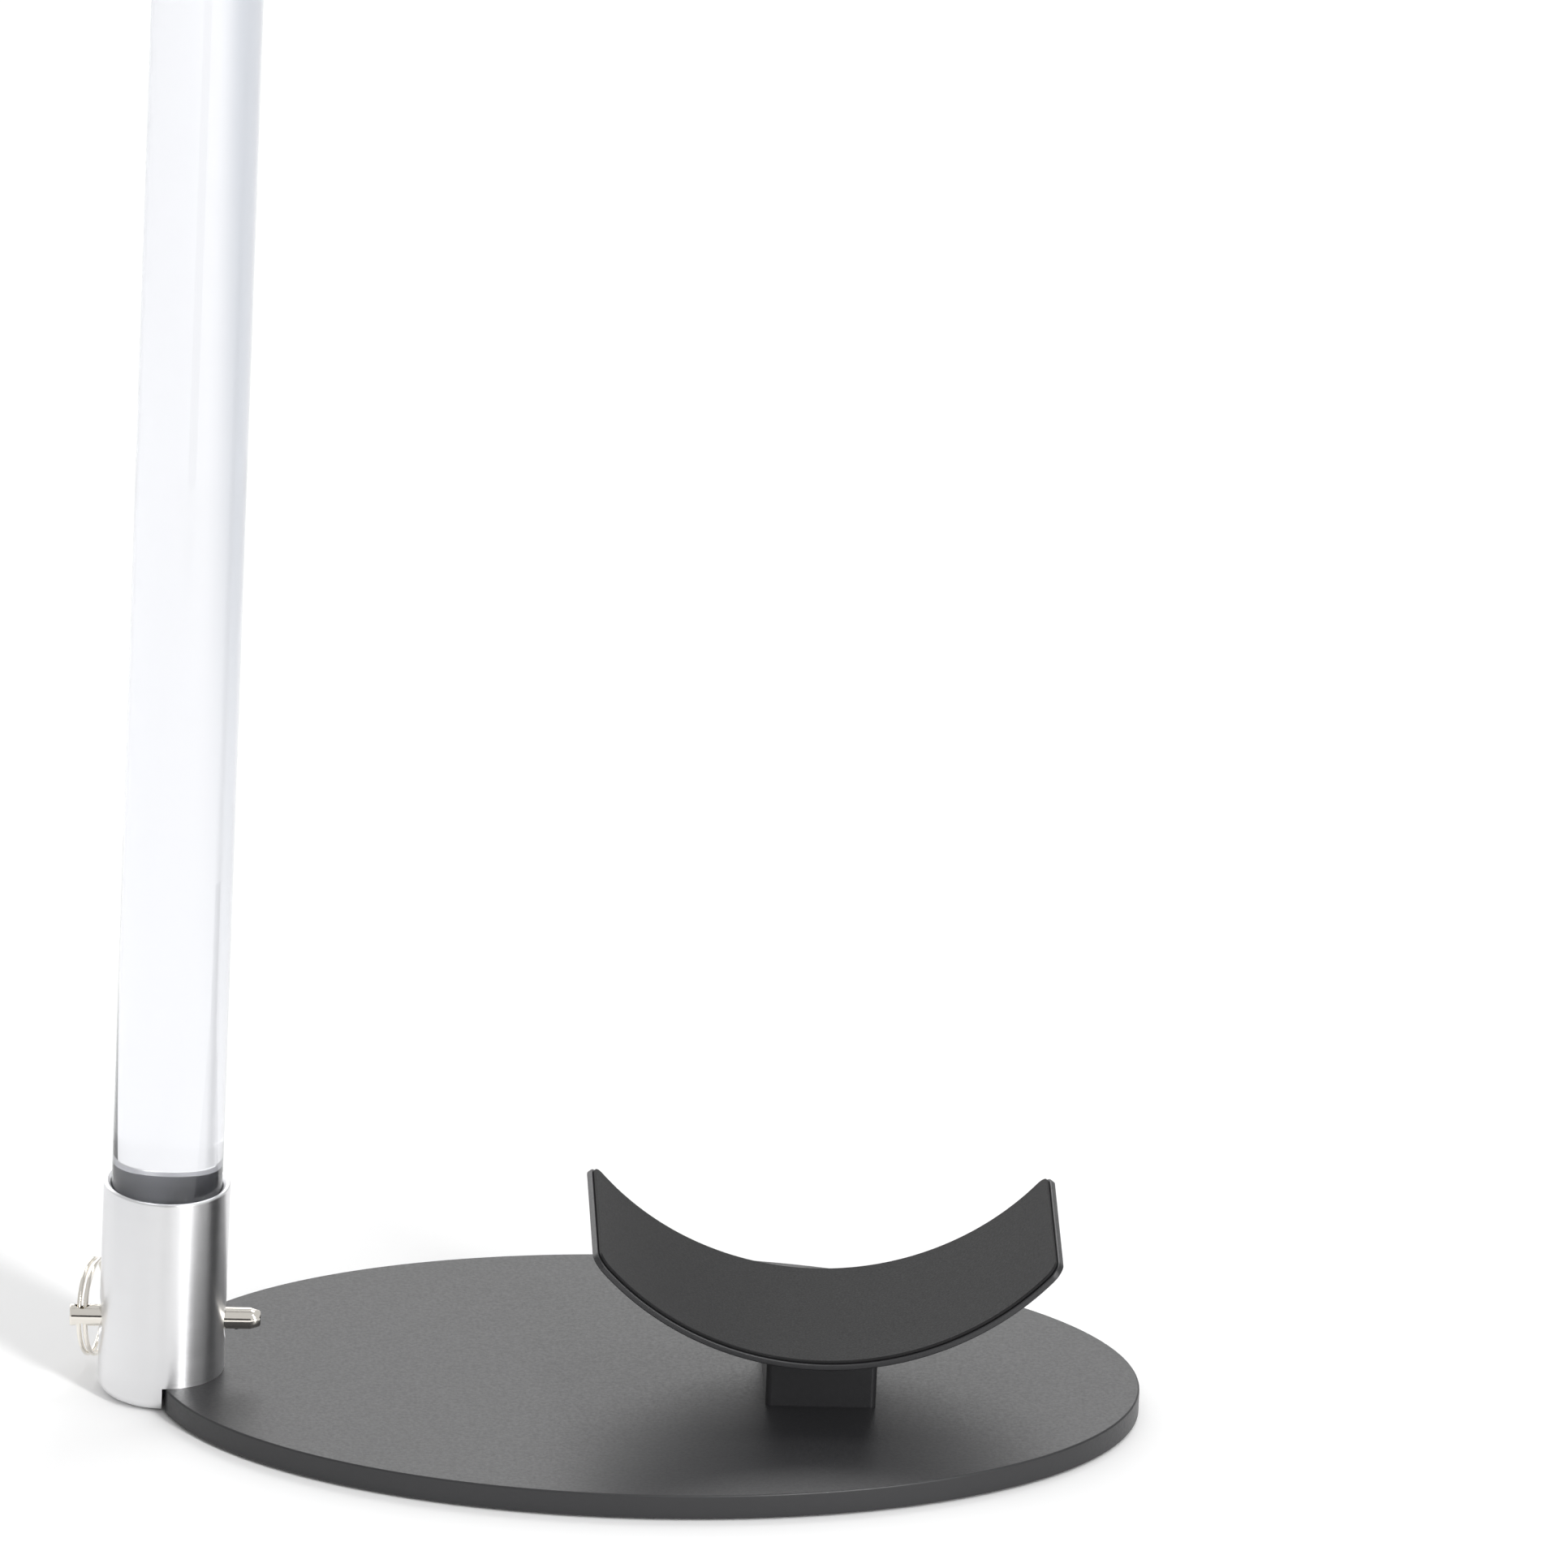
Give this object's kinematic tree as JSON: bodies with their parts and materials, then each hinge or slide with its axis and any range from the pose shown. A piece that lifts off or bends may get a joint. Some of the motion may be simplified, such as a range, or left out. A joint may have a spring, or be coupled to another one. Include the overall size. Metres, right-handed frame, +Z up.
{
  "type": "saxophone stand",
  "caption": "Display stand for a tenor saxophone: oval steel base, clear post in a pinned metal socket, curved cradle for the bow and a padded swivelling yoke.",
  "frame": {"origin": "on the floor, under the middle of the oval base", "axes": "+X from the post towards the cradle, along the oval; +Y to the back; +Z up the post"},
  "size_m": [0.2958, 0.15, 0.552],
  "materials": {
    "black_powder_coat": "satin powder coat",
    "black_rubber": "matt",
    "satin_aluminium": "turned, satin",
    "clear_acrylic": "polished, clear",
    "nickel_steel": "nickel plated, bright",
    "zinc_steel": "zinc plated",
    "spring_steel": "bright drawn",
    "black_anodised": "black anodised, satin",
    "black_phenolic": "moulded",
    "white_nylon": "turned"
  },
  "bodies": {
    "stand": {"base_plate": "black_powder_coat", "base_pad": "black_rubber", "post_socket": "satin_aluminium", "post_bumper": "black_rubber", "post_rod": "clear_acrylic", "socket_screw_front": "zinc_steel", "socket_screw_rear": "zinc_steel", "cradle_block": "black_powder_coat", "cradle_strip": "black_powder_coat", "cradle_liner": "black_rubber", "block_screw_left": "zinc_steel", "block_screw_right": "zinc_steel", "strip_screw_front": "zinc_steel", "strip_screw_rear": "zinc_steel"},
    "pin": {"release_pin": "nickel_steel", "detent_spring": "spring_steel"},
    "ball": {"detent_ball": "spring_steel"},
    "ring": {"split_ring": "nickel_steel"},
    "collar": {"height_collar": "black_anodised", "collar_bush": "white_nylon"},
    "clamp_pad": {"pressure_pad": "white_nylon"},
    "clamp_screw": {"clamp_stud": "zinc_steel", "clamp_knob": "black_phenolic"},
    "arm": {"swivel_arm": "black_powder_coat", "pivot_screw": "zinc_steel", "pivot_washer_top": "zinc_steel", "pivot_spacer": "white_nylon", "pivot_washer_bottom": "zinc_steel", "pivot_nut": "zinc_steel"},
    "yoke": {"yoke_frame": "black_powder_coat", "yoke_sleeve_left": "black_rubber", "yoke_sleeve_right": "black_rubber", "yoke_cap_left": "black_rubber", "yoke_cap_right": "black_rubber"}
  },
  "joints": [
    {"name": "pin_pull", "type": "slide", "parent": "stand", "child": "pin", "axis": [-1, 0, 0], "range_m": [0, 0.045]},
    {"name": "ring_swing", "type": "hinge", "parent": "pin", "child": "ring", "pos_m": [-0.1432, 0, 0.02], "axis": [0, 0.2164, 0.9763], "range_deg": [-6, 214]},
    {"name": "ball_press", "type": "slide", "parent": "pin", "child": "ball", "axis": [0, 0.2164, 0.9763], "range_m": [0, 0.0003], "stiffness_N_per_m": 300, "deforming": ["detent_spring"]},
    {"name": "collar_height", "type": "slide", "parent": "stand", "child": "collar", "axis": [0, 0, 1], "range_m": [-0.12, 0.04]},
    {"name": "knob_turn", "type": "hinge", "parent": "clamp_pad", "child": "clamp_screw", "pos_m": [-0.1228, 0, 0.482], "axis": [-1, 0, 0], "range_deg": [0, 720]},
    {"name": "pad_travel", "type": "slide", "parent": "collar", "child": "clamp_pad", "axis": [-1, 0, 0], "range_m": [0, 0.002]},
    {"name": "arm_swing", "type": "hinge", "parent": "collar", "child": "arm", "pos_m": [-0.1228, 0, 0.498], "axis": [0, 0, 1], "range_deg": [-75, 75]},
    {"name": "yoke_turn", "type": "hinge", "parent": "arm", "child": "yoke", "pos_m": [-0.0228, 0.042, 0.488], "axis": [0, 0, 1], "range_deg": [-30, 30]}
  ],
  "couplings": [
    {"joint": "knob_turn", "follows": "pad_travel", "rad_per_m": 6283.2}
  ]
}
